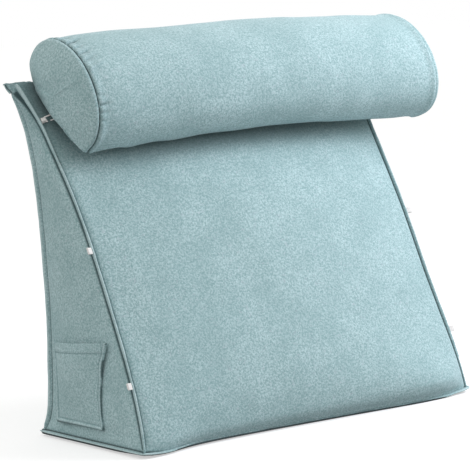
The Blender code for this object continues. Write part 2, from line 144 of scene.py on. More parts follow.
class ShaderGraph:
    """Builds the nodes of one material."""

    def __init__(self, name: str) -> None:
        """Starts a material that holds only its Principled shader.

        Args:
            name: the material's name.
        """
        self.material = bpy.data.materials.new(name)
        self.material.use_nodes = True
        self.tree = self.material.node_tree
        self.shader = self.tree.nodes["Principled BSDF"]

    def add(
        self,
        kind: str,
        settings: dict[str, object] | None = None,
        inputs: dict[int | str, object] | None = None,
    ) -> AddedNode:
        """Adds one node.

        Args:
            kind: the node's type name.
            settings: attributes of the node, which are set first.
            inputs: values or links by the socket's name or index.

        Returns:
            The added node.
        """
        node = self.tree.nodes.new(kind)
        for key, setting in (settings or {}).items():
            setattr(node, key, setting)
        for key, given in (inputs or {}).items():
            self.feed(node.inputs[key], given)
        return AddedNode(self, node)

    def feed(self, socket: bpy.types.NodeSocket, given: object) -> None:
        """Links a value to a socket, or sets the socket's own number or colour.

        Args:
            socket: the socket to fill.
            given: a value, a number, a colour or a vector.
        """
        if isinstance(given, Value):
            self.tree.links.new(given.socket, socket)
        elif isinstance(given, tuple) and len(given) == 3 and socket.type == "RGBA":
            socket.default_value = (*given, 1.0)
        else:
            socket.default_value = given

    def place(self, stretch: Colour = (1.0, 1.0, 1.0)) -> Value:
        """Object coordinates, stretched along each axis."""
        source = self.add("ShaderNodeTexCoord").value("Object")
        return self.add("ShaderNodeMapping", {}, {"Vector": source, "Scale": stretch}).value(0)

    def grain(self, where: Value, scale: float, detail: float = 3.0, rough: float = 0.6) -> Value:
        """Noise from 0 to 1, with its features one over the scale wide."""
        inputs = {"Vector": where, "Scale": scale, "Detail": detail, "Roughness": rough}
        return self.add("ShaderNodeTexNoise", {}, inputs).value("Fac")

    def blend(self, share: object, start: object, end: object) -> Value:
        """A colour between two colours."""
        settings = {"data_type": "RGBA", "blend_type": "MIX"}
        return self.add("ShaderNodeMix", settings, {0: share, 6: start, 7: end}).value(2)

    def relief(self, height: Value, strength: float, distance: float) -> None:
        """Bump on the shader's normal.

        Args:
            height: the height over the surface.
            strength: how strong the bump is, from 0 to 1.
            distance: the height in metres that 1 stands for.
        """
        inputs = {"Height": height, "Strength": strength, "Distance": distance}
        bump = self.add("ShaderNodeBump", {}, inputs)
        self.feed(self.shader.inputs["Normal"], bump.value("Normal"))

    def dress(self, **sockets: object) -> bpy.types.Material:
        """Sets the shader's sockets, named with underscores for spaces.

        Args:
            **sockets: numbers, colours or values by socket.

        Returns:
            The finished material.
        """
        for key, given in sockets.items():
            self.feed(self.shader.inputs[key.replace("_", " ")], given)
        return self.material


# Finishes


@dataclass(frozen=True)
class PileCloth:
    """Short brushed pile with a mottled nap."""

    name: str = "pile_cloth"
    ground: Colour = (0.33, 0.475, 0.49)
    light: Colour = (0.50, 0.665, 0.685)
    deep: Colour = (0.205, 0.345, 0.355)
    lilac: Colour = (0.48, 0.50, 0.575)
    # Painted shade colour, laid over the cloth by the seam_shade layer.
    seam: Colour = (0.045, 0.085, 0.09)
    # Painted highlight colour, laid over the cloth where the seam_shade layer is below 0.
    wear_and_highlight: Colour = (0.62, 0.76, 0.77)
    mottle_per_metre: float = 380.0
    nap_per_metre: float = 17.0
    pile_per_metre: float = 1100.0
    relief_height: float = 0.9 * MM
    relief_strength: float = 0.55
    mottle_share: float = 0.85
    speck_share: float = 0.35
    lilac_share: float = 0.4
    nap_share: float = 0.32
    roughness: float = 0.93
    sheen: float = 0.28
    sheen_tint: Colour = (0.80, 0.93, 0.95)

    def material(self) -> bpy.types.Material:
        """Builds the cloth.

        Returns:
            The finished material.
        """
        graph = ShaderGraph(self.name)
        place = graph.place()
        mottle = graph.grain(place, self.mottle_per_metre, 4.0, 0.72)
        speck = graph.grain(place, self.mottle_per_metre * 2.3, 2.0, 0.5)
        nap = graph.grain(place, self.nap_per_metre, 5.0, 0.62)
        shifted = graph.place((0.8, 1.1, 0.9))
        lilac_mask = graph.grain(shifted, self.mottle_per_metre * 0.6, 3.0, 0.7)
        pile = graph.grain(place, self.pile_per_metre, 3.0, 0.6)
        colour = graph.blend(mottle.clipped(0.36, 0.66), self.deep, self.light)
        colour = graph.blend(self.mottle_share, self.ground, colour)
        specks = speck.clipped(0.5, 0.75) * self.speck_share
        colour = graph.blend(specks, colour, self.light)
        tinted = lilac_mask.clipped(0.56, 0.74) * self.lilac_share
        colour = graph.blend(tinted, colour, self.lilac)
        laid = (1 - nap.clipped(0.34, 0.62)) * self.nap_share
        colour = graph.blend(laid, colour, self.deep)
        shade = graph.add("ShaderNodeAttribute", {"attribute_name": SHADE_LAYER}).value("Fac")
        # Painted shade: above 0 the layer darkens the cloth in seam grooves, tuck bottoms, stitch
        # lines and under the roll.
        colour = graph.blend(shade.clipped(0.0, 1.0), colour, self.seam)
        # Painted highlight: below 0 the layer lightens the cloth on the flange and pocket edge
        # ridges.
        colour = graph.blend((0 - shade).clipped(0.0, 1.0), colour, self.wear_and_highlight)
        height = pile * 0.55 + mottle * 0.8 + speck * 0.35
        graph.relief(height, self.relief_strength, self.relief_height)
        return graph.dress(
            Base_Color=colour,
            Roughness=self.roughness,
            Sheen_Weight=self.sheen,
            Sheen_Roughness=0.5,
            Sheen_Tint=self.sheen_tint,
        )


@dataclass(frozen=True)
class WovenCloth:
    """Plain woven cloth or ribbon, with its threads along X and along Z."""

    name: str
    warp: Colour
    weft: Colour
    threads_per_metre: float
    relief_height: float
    sheen: float = 0.1

    def material(self) -> bpy.types.Material:
        """Builds the cloth.

        Returns:
            The finished material.
        """
        graph = ShaderGraph(self.name)
        place = graph.place()
        settings = {"wave_type": "BANDS", "wave_profile": "SIN"}
        bands = []
        for direction in ("X", "Z"):
            inputs = {"Vector": place, "Scale": self.threads_per_metre / 20, "Distortion": 0.6}
            wave = graph.add(
                "ShaderNodeTexWave", {**settings, "bands_direction": direction}, inputs
            )
            bands.append(wave.value("Fac"))
        fuzz = graph.grain(place, self.threads_per_metre * 0.7)
        weave = bands[0] * 0.5 + bands[1] * 0.5
        colour = graph.blend(weave * 0.7 + fuzz * 0.3, self.warp, self.weft)
        graph.relief(weave + fuzz * 0.5, 0.6, self.relief_height)
        return graph.dress(
            Base_Color=colour, Roughness=0.82, Sheen_Weight=self.sheen, Sheen_Roughness=0.4
        )


@dataclass(frozen=True)
class MouldedPlastic:
    """Smooth white plastic with a faint moulding unevenness."""

    name: str = "hook_plastic"
    body: Colour = (0.93, 0.90, 0.88)
    wear_and_highlight: Colour = (0.80, 0.72, 0.70)

    def material(self) -> bpy.types.Material:
        """Builds the plastic.

        Returns:
            The finished material.
        """
        graph = ShaderGraph(self.name)
        place = graph.place()
        cloud = graph.grain(place, 260.0)
        colour = graph.blend(cloud.clipped(0.45, 0.7) * 0.6, self.body, self.wear_and_highlight)
        graph.relief(graph.grain(place, 900.0), 0.15, 0.2 * MM)
        return graph.dress(Base_Color=colour, Roughness=cloud * 0.2 + 0.3, IOR=1.48)


@dataclass(frozen=True)
class StudioPaint:
    """The pale matt paint of the studio floor."""

    name: str = "studio_paint"
    tone: Colour = (0.62, 0.62, 0.62)
    bounce_tone: Colour = (0.42, 0.42, 0.42)
    glow: float = 0.5

    def material(self) -> bpy.types.Material:
        """Builds the paint.

        Returns:
            The finished material.
        """
        graph = ShaderGraph(self.name)
        seen = graph.add("ShaderNodeLightPath").value("Is Camera Ray")
        return graph.dress(
            Base_Color=graph.blend(seen, self.bounce_tone, self.tone),
            Roughness=0.95,
            Emission_Color=graph.blend(seen, (0.0, 0.0, 0.0), (1.0, 1.0, 1.0)),
            Emission_Strength=self.glow,
        )


@dataclass
class Finishes:
    """The finished materials, one of each."""

    pile: bpy.types.Material
    base: bpy.types.Material
    ribbon: bpy.types.Material
    plastic: bpy.types.Material
    thread: bpy.types.Material
    paint: bpy.types.Material

    @classmethod
    def made(cls) -> Finishes:
        """Builds each material once.

        Returns:
            The set of materials.
        """
        base = WovenCloth("base_cloth", (0.035, 0.055, 0.06), (0.07, 0.1, 0.105), 1200, 0.3 * MM)
        ribbon = WovenCloth("ribbon_weave", (0.86, 0.85, 0.83), (0.70, 0.68, 0.66), 1800, 0.2 * MM)
        thread = WovenCloth("sewing_thread", (0.30, 0.47, 0.49), (0.2, 0.34, 0.36), 2600, 0.1 * MM)
        return cls(
            pile=PileCloth().material(),
            base=base.material(),
            ribbon=ribbon.material(),
            plastic=MouldedPlastic().material(),
            thread=thread.material(),
            paint=StudioPaint().material(),
        )


# Mesh helpers


def linked_object(name: str, mesh: bpy.types.Mesh) -> bpy.types.Object:
    """Puts a mesh into the scene as an object at the origin.

    Args:
        name: the object's name.
        mesh: the mesh that it shows.

    Returns:
        The new object.
    """
    placed = bpy.data.objects.new(name, mesh)
    bpy.context.scene.collection.objects.link(placed)
    return placed


def merged_copy(node: str, name: str) -> bpy.types.Object:
    """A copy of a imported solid, with its loose triangles merged and joined in pairs.

    Args:
        node: the solid's name.
        name: the new object's name.

    Returns:
        The new object.
    """
    mesh = bpy.data.meshes.new(name)
    body = bmesh.new()
    body.from_mesh(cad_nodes()[node].data)
    bmesh.ops.remove_doubles(body, verts=body.verts[:], dist=MERGE_DISTANCE)
    bmesh.ops.join_triangles(
        body,
        faces=body.faces[:],
        angle_face_threshold=PAIR_BEND,
        angle_shape_threshold=PAIR_SKEW,
    )
    body.to_mesh(mesh)
    body.free()
    return linked_object(name, mesh)


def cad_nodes() -> dict[str, bpy.types.Object]:
    """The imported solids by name."""
    return frame["nodes"]


def edit(piece: bpy.types.Object, change: Callable[[bmesh.types.BMesh], None]) -> None:
    """Runs one change on a piece's mesh.

    Args:
        piece: the piece that is worked on.
        change: what is done to the mesh.
    """
    body = bmesh.new()
    body.from_mesh(piece.data)
    change(body)
    body.to_mesh(piece.data)
    body.free()


def crease_sharp_edges(piece: bpy.types.Object, angle: float, crease: float) -> None:
    """Marks edges that turn more than an angle, so that subdivision keeps them.

    Args:
        piece: the piece that is worked on.
        angle: the least turn of a sharp edge, in radians.
        crease: how firmly such an edge is kept.
    """

    def mark(body: bmesh.types.BMesh) -> None:
        """Writes the crease of each sharp edge.

        Args:
            body: the mesh that is worked on.
        """
        layer = body.edges.layers.float.new("crease_edge")
        for edge in body.edges:
            if edge.calc_face_angle(0.0) > angle:
                edge[layer] = crease

    edit(piece, mark)


def subdivide(piece: bpy.types.Object, levels: int) -> None:
    """Applies a subdivision surface.

    Args:
        piece: the piece that is worked on.
        levels: how often it is divided.
    """
    modifier = piece.modifiers.new("smooth", "SUBSURF")
    modifier.levels = modifier.render_levels = levels
    apply_modifiers(piece)


def apply_modifiers(piece: bpy.types.Object) -> None:
    """Makes the evaluated mesh the piece's own mesh.

    Args:
        piece: the piece that is worked on.
    """
    graph = bpy.context.evaluated_depsgraph_get()
    made = bpy.data.meshes.new_from_object(piece.evaluated_get(graph))
    made.name = piece.name
    piece.modifiers.clear()
    piece.data = made


def read_points(piece: bpy.types.Object) -> Points:
    """The places of a piece's vertices.

    Args:
        piece: the piece that is worked on.

    Returns:
        One row of three numbers for each vertex.
    """
    flat = np.zeros(len(piece.data.vertices) * 3)
    piece.data.vertices.foreach_get("co", flat)
    return flat.reshape(-1, 3)


def read_normals(piece: bpy.types.Object) -> Points:
    """The normals of a piece's vertices.

    Args:
        piece: the piece that is worked on.

    Returns:
        One row of three numbers for each vertex.
    """
    flat = np.zeros(len(piece.data.vertices) * 3)
    piece.data.vertices.foreach_get("normal", flat)
    return flat.reshape(-1, 3)


def write_points(piece: bpy.types.Object, points: Points) -> None:
    """Moves a piece's vertices."""
    piece.data.vertices.foreach_set("co", points.ravel())
    piece.data.update()


def push(piece: bpy.types.Object, height: Callable[[Vector], float]) -> None:
    """Moves each vertex along its normal by a height that depends on its place.

    Args:
        piece: the piece that is worked on.
        height: the height for a place, in metres.
    """
    points = read_points(piece)
    normals = read_normals(piece)
    heights = np.array([height(Vector(point)) for point in points])
    write_points(piece, points + normals * heights[:, None])


def paint_shade(piece: bpy.types.Object, shares: Points) -> None:
    """Records each vertex's painted tone, from -1 for a painted highlight on an edge ridge to 1
    for painted shade deep in a seam.
    """
    layer = piece.data.attributes.new(SHADE_LAYER, "FLOAT", "POINT")
    layer.data.foreach_set("value", np.clip(shares, -1.0, 1.0))


def smoothstep(value: float) -> float:
    """0 below 0, 1 above 1 and a soft step between."""
    held = min(max(value, 0.0), 1.0)
    return held * held * (3 - 2 * held)


def soft_noise(place: Vector, per_metre: float, seed: float = 0.0) -> float:
    """Smooth noise about 0, with its features one over per_metre wide."""
    return noise.noise(place * per_metre + Vector((seed, -seed, 0.5 * seed)))


def seat(
    piece: bpy.types.Object, finish: bpy.types.Material, slot: str, *nodes: str
) -> bpy.types.Object:
    """Dresses a finished piece and puts it on the root body.

    Args:
        piece: the finished piece.
        finish: its material.
        slot: the record's material slot; not used.
        *nodes: the solids that it stands for.

    Returns:
        The piece.
    """
    piece.data.materials.clear()
    piece.data.materials.append(finish)
    piece.data.shade_smooth()
    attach(piece, ROOT_BODY)
    if nodes:
        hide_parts(*nodes)
    LOG.info("%s: %d faces", piece.name, len(piece.data.polygons))
    return piece


def surface_tree(piece: bpy.types.Object) -> BVHTree:
    """A tree of a piece's faces, for finding the nearest one.

    Args:
        piece: the piece that is worked on.

    Returns:
        The tree.
    """
    body = bmesh.new()
    body.from_mesh(piece.data)
    tree = BVHTree.FromBMesh(body)
    body.free()
    return tree


@dataclass
class Foot:
    """The overhang of the filling over the floor, along the foot of the front panel."""

    places: tuple[float, ...] = (-0.30, -0.26, -0.21, -0.12, 0.0, 0.12, 0.22, 0.27, 0.30)
    tucks: tuple[float, ...] = (0.0, 0.003, 0.004, 0.005, 0.008, 0.011, 0.014, 0.011, 0.0)
    bulges: tuple[float, ...] = (0.0, 0.003, 0.005, 0.006, 0.008, 0.009, 0.009, 0.007, 0.0)
    heights: tuple[float, ...] = (0.003, 0.009, 0.017, 0.028, 0.045, 0.08, 0.12, 0.18)
    tuck_shares: tuple[float, ...] = (1.0, 0.95, 0.6, 0.2, 0.0, 0.0, 0.0, 0.0)
    bulge_shares: tuple[float, ...] = (0.0, 0.1, 0.6, 1.0, 1.0, 0.7, 0.3, 0.0)
    front_heights: tuple[float, ...] = (0.007, 0.235, 0.345, 0.44)
    front_reaches: tuple[float, ...] = (-0.118, -0.021, 0.037, 0.095)
    depth: float = 60 * MM

    def at_front(self, points: Points) -> Points:
        """1 on the front panel, falling to 0 behind it."""
        front = np.interp(points[:, 2], self.front_heights, self.front_reaches)
        return 1 - np.clip((points[:, 1] - front) / self.depth, 0.0, 1.0)

    def shape(self, piece: bpy.types.Object) -> None:
        """Draws the foot in at the floor, and lets it bulge over it.

        Args:
            piece: the piece that is worked on.
        """
        points = read_points(piece)
        tuck = np.interp(points[:, 0], self.places, self.tucks)
        bulge = np.interp(points[:, 0], self.places, self.bulges)
        move = tuck * np.interp(points[:, 2], self.heights, self.tuck_shares)
        move -= bulge * np.interp(points[:, 2], self.heights, self.bulge_shares)
        points[:, 1] += move * self.at_front(points)
        write_points(piece, points)


class NodeMap:
    """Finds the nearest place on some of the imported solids."""

    def __init__(self, nodes: Sequence[str]) -> None:
        """Gathers the faces of some solids in one tree.

        Args:
            nodes: the solids' names.
        """
        body = bmesh.new()
        for node in nodes:
            body.from_mesh(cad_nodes()[node].data)
        self.tree = BVHTree.FromBMesh(body)
        body.free()

    def nearest(self, place: Vector) -> tuple[Vector, float]:
        """The nearest place on the solids, and how far away it is."""
        found, _, _, distance = self.tree.find_nearest(place)
        return found, distance


@dataclass
class Stuffing:
    """A cloth simulation that swells a cover over its filling."""

    pressure: float = 4.0
    start_in: float = 2.5 * MM
    most_out: float = 7 * MM
    frames: int = 20
    stiffness: float = 12.0
    bending: float = 0.8
    cloth_mass: float = 0.3
    solver_steps: int = 4
    least_hold: float = 0.01

    def swell(self, piece: bpy.types.Object, held: Callable[[Vector], float]) -> None:
        """Swells a piece between the places where it is held.

        Args:
            piece: the cover, closed.
            held: how firmly a place is held, from 0 to 1.
        """
        rest = read_points(piece)
        holds = np.array([held(Vector(point)) for point in rest])
        write_points(piece, rest - read_normals(piece) * (self.start_in * (1 - holds))[:, None])
        group = piece.vertex_groups.new(name="held")
        for index, hold in enumerate(holds):
            if hold > self.least_hold:
                group.add([index], float(hold), "REPLACE")
        cloth = piece.modifiers.new("stuffing", "CLOTH")
        settings = cloth.settings
        settings.quality = self.solver_steps
        settings.mass = self.cloth_mass
        settings.tension_stiffness = self.stiffness
        settings.compression_stiffness = self.stiffness
        settings.bending_stiffness = self.bending
        settings.use_pressure = True
        settings.uniform_pressure_force = self.pressure
        settings.effector_weights.gravity = 0
        settings.vertex_group_mass = group.name
        cloth.collision_settings.use_collision = False
        cloth.point_cache.frame_start = 1
        cloth.point_cache.frame_end = self.frames
        for frame in range(1, self.frames + 1):
            bpy.context.scene.frame_set(frame)
        apply_modifiers(piece)
        moved = read_points(piece) - rest
        far = np.linalg.norm(moved, axis=1, keepdims=True)
        capped = moved * np.minimum(1.0, self.most_out / np.maximum(far, 1e-9))
        write_points(piece, rest + capped)
        piece.vertex_groups.clear()
        bpy.context.scene.frame_set(1)
        LOG.info("%s swelled by up to %.1f mm", piece.name, far.max() / MM)


# Sub-assemblies


@dataclass
class Wedge:
    """The filled wedge with its panels, which pucker along the seams."""

    seams: NodeMap
    roll: NodeMap
    under_shade: float = 0.66
    under_reach: float = 46 * MM
    seam_hold_start: float = 4 * MM
    seam_hold_reach: float = 22 * MM
    floor_hold_reach: float = 10 * MM
    clear_from: float = 6 * MM
    clear_over: float = 20 * MM
    pucker_from: float = 1.5 * MM
    pucker_over: float = 6 * MM
    pucker_reach: float = 16 * MM
    pucker_height: float = 1.1 * MM
    pucker_per_metre: float = 46.0
    dent_reach: float = 60 * MM
    dent_height: float = 2.6 * MM
    dent_per_metre: float = 7.0
    floor_height: float = 12 * MM
    shade_from: float = 0.6 * MM
    shade_reach: float = 4.4 * MM
    shade_depth: float = 0.95
    foot: Foot = field(default_factory=Foot)
    sharp_bend: float = math.radians(48)
    fill: float = 0.85
    stuffing: Stuffing = field(default_factory=Stuffing)

    def held(self, place: Vector) -> float:
        """How firmly the cover is held at a place: at the seams and at the floor.

        Args:
            place: a place on the piece.

        Returns:
            The hold, from 0 to 1.
        """
        _, distance = self.seams.nearest(place)
        at_seam = 1 - smoothstep((distance - self.seam_hold_start) / self.seam_hold_reach)
        at_floor = 1 - smoothstep((place.z - self.floor_height) / self.floor_hold_reach)
        return max(at_seam, at_floor)

    def unevenness(self, place: Vector) -> float:
        """How far the cover stands out or in at a place.

        Args:
            place: a place on the piece.

        Returns:
            The height along the normal, in metres.
        """
        nearest, distance = self.seams.nearest(place)
        off_floor = smoothstep((place.z - self.clear_from) / self.clear_over)
        fade = math.exp(-distance / self.pucker_reach)
        ridges = soft_noise(nearest, self.pucker_per_metre) + 0.5 * soft_noise(
            nearest, 2.3 * self.pucker_per_metre, 4.0
        )
        rise = smoothstep((distance - self.pucker_from) / self.pucker_over)
        pucker = self.pucker_height * ridges * fade * rise
        free = smoothstep(distance / self.dent_reach)
        dents = self.dent_height * free * (
            soft_noise(place, self.dent_per_metre, 2.0)
            + 0.35 * soft_noise(place, 2.6 * self.dent_per_metre, 7.0)
        )
        return (pucker + dents) * off_floor

    def shade(self, place: Vector) -> float:
        """The painted shade beside a seam and where the roll presses on the cloth.

        Args:
            place: a place on the piece.

        Returns:
            The tone, from -1 to 1.
        """
        _, distance = self.seams.nearest(place)
        off_seam = (distance - self.shade_from) / self.shade_reach
        crease = self.shade_depth * (1 - smoothstep(off_seam))
        _, under = self.roll.nearest(place)
        return max(crease, self.under_shade * (1 - smoothstep(under / self.under_reach)))

    def build(self, finishes: Finishes) -> bpy.types.Object:
        """Makes the filled wedge.

        Args:
            finishes: the finished materials.

        Returns:
            The finished piece.
        """
        piece = merged_copy("wedge_body", "wedge")
        crease_sharp_edges(piece, self.sharp_bend, 1.0)
        subdivide(piece, 2)
        self.foot.shape(piece)
        self.stuffing.swell(piece, self.held)
        subdivide(piece, 1)
        push(piece, self.unevenness)
        paint_shade(piece, np.array([self.shade(Vector(point)) for point in read_points(piece)]))
        seat(piece, finishes.pile, "cloth", "wedge_body")
        return piece


@dataclass
class BasePanel:
    """The dark cloth on which the cushion stands, pressed out a little round its edge."""

    foot: Foot = field(default_factory=Foot)
    pressed_out: float = 3.2 * MM
    held_back: float = 0.75
    sharp_bend: float = math.radians(40)
    crease: float = 0.8

    def press(self, place: Vector) -> float:
        """How far the cloth is pressed out: less under the overhang of the front panel."""
        front = float(self.foot.at_front(np.array([place]))[0])
        return self.pressed_out * (1 - self.held_back * front)

    def build(self, finishes: Finishes) -> bpy.types.Object:
        """Makes the base panel.

        Args:
            finishes: the finished materials.

        Returns:
            The finished piece.
        """
        piece = merged_copy("base_panel", "base_cloth")
        crease_sharp_edges(piece, self.sharp_bend, self.crease)
        subdivide(piece, 2)
        self.foot.shape(piece)
        push(piece, self.press)
        points = read_points(piece)
        points[:, 2] = np.maximum(points[:, 2], 0.0)
        write_points(piece, points)
        return seat(piece, finishes.base, "base_cloth", "base_panel")


@dataclass
class Flanges:
    """The narrow stitched flanges along the seams."""

    nodes: tuple[str, ...]
    cover: BVHTree
    root_reach: float = 4.6 * MM
    root_kept: float = 0.75
    loose_reach: float = 9 * MM
    loose_kept: float = 0.4
    edge_from: float = 4.2 * MM
    edge_over: float = 1.6 * MM
    lowest: float = 3 * MM
    edge_light: float = 0.5
    root_depth: float = 1.4 * MM
    shade_reach: float = 3.7 * MM
    shade_depth: float = 1.0
    ripple_height: float = 0.5 * MM
    ripple_per_metre: float = 42.0
    sharp_bend: float = math.radians(70)
    crease: float = 0.35
    drop: float = 8 * MM
    drop_gain: float = 1.4
    drop_from: float = 50 * MM
    rise: float = 11 * MM
    rise_from: float = 440 * MM
    rise_over: float = 39 * MM
    front_tuck: float = 4 * MM
    tuck_end: float = 0.292
    tuck_fade: float = 0.09
    foot: Foot = field(default_factory=Foot)

    def ripple(self, place: Vector) -> float:
        """How unevenly the flange is sewn at a place."""
        fine = soft_noise(place, 2.4 * self.ripple_per_metre, 3.0)
        return self.ripple_height * (soft_noise(place, self.ripple_per_metre) + 0.4 * fine)

    def meet_ends(self, piece: bpy.types.Object) -> None:
        """Draws an upright flange down to the base's flange and up into the ear.

        Args:
            piece: the piece that is worked on.
        """
        points = read_points(piece)
        share = np.clip((self.drop_from - points[:, 2]) / self.drop_from, 0.0, 1.0)
        points[:, 2] -= self.drop * share * share * (3 - 2 * share) * self.drop_gain
        points[:, 2] = np.maximum(points[:, 2], self.lowest)
        rise = np.clip((points[:, 2] - self.rise_from) / self.rise_over, 0.0, 1.0)
        points[:, 2] += self.rise * rise * rise
        write_points(piece, points)

    def tuck_under(self, piece: bpy.types.Object) -> None:
        """Turns the front of the base flange in under the foot.

        Args:
            piece: the piece that is worked on.
        """
        self.foot.shape(piece)
        points = read_points(piece)
        inward = np.clip((self.tuck_end - np.abs(points[:, 0])) / self.tuck_fade, 0.0, 1.0)
        points[:, 1] += self.front_tuck * inward * self.foot.at_front(points)
        write_points(piece, points)

    def root(self, piece: bpy.types.Object, reach: float, kept: float) -> None:
        """Sinks the root into the body, paints shade where it lies next to the body and paints a
        highlight on its edge.

        Args:
            piece: the flange.
            reach: how near the body a place is drawn towards it.
            kept: the share of its distance that such a place keeps.
        """
        points = read_points(piece)
        shades = np.zeros(len(points))
        for index, point in enumerate(points):
            nearest, normal, _, distance = self.cover.find_nearest(Vector(point))
            if distance < reach:
                sunk = self.root_depth * (1 - distance / reach)
                points[index] = nearest + normal * (distance * kept - sunk)
            shades[index] = self.shade_depth * (1 - smoothstep(distance / self.shade_reach))
            shades[index] -= self.edge_light * smoothstep(
                (distance - self.edge_from) / self.edge_over
            )
        write_points(piece, points)
        paint_shade(piece, shades)

    def build(self, finishes: Finishes) -> list[bpy.types.Object]:
        """Makes each flange.

        Args:
            finishes: the finished materials.

        Returns:
            The finished pieces.
        """
        made = []
        for node in self.nodes:
            piece = merged_copy(node, node.replace("seam", "flange"))
            crease_sharp_edges(piece, self.sharp_bend, self.crease)
            subdivide(piece, 2)
            if node == "seam_base":
                self.tuck_under(piece)
            elif node != "seam_top":
                self.meet_ends(piece)
            push(piece, self.ripple)
            if node == "seam_top":
                self.root(piece, self.loose_reach, self.loose_kept)
            else:
                self.root(piece, self.root_reach, self.root_kept)
            made.append(seat(piece, finishes.pile, "cloth", node))
        return made


@dataclass(frozen=True)
class Tuck:
    """A fold at an end seam: its turn round the roll in degrees at two distances from the seam."""

    turn: float
    length: float
    depth: float
    width: float
    far_turn: float
    start: float = 0.0

    def depth_at(self, turn: float, off: float, radius: float) -> float:
        """How deep the fold is at a turn and a distance from the seam.

        Args:
            turn: the turn round the roll, in degrees.
            off: the distance from the seam.
            radius: the roll's radius.

        Returns:
            The depth, in metres.
        """
        share = (off - self.start) / self.length
        if not 0 <= share <= 1:
            return 0.0
        across = math.radians(turn - self.turn - share * (self.far_turn - self.turn)) * radius
        if abs(across) > 4 * self.width:
            return 0.0
        fade = smoothstep((1 - share) * 1.6) * smoothstep(share * 12)
        return self.depth * math.exp(-((across / self.width) ** 2)) * fade


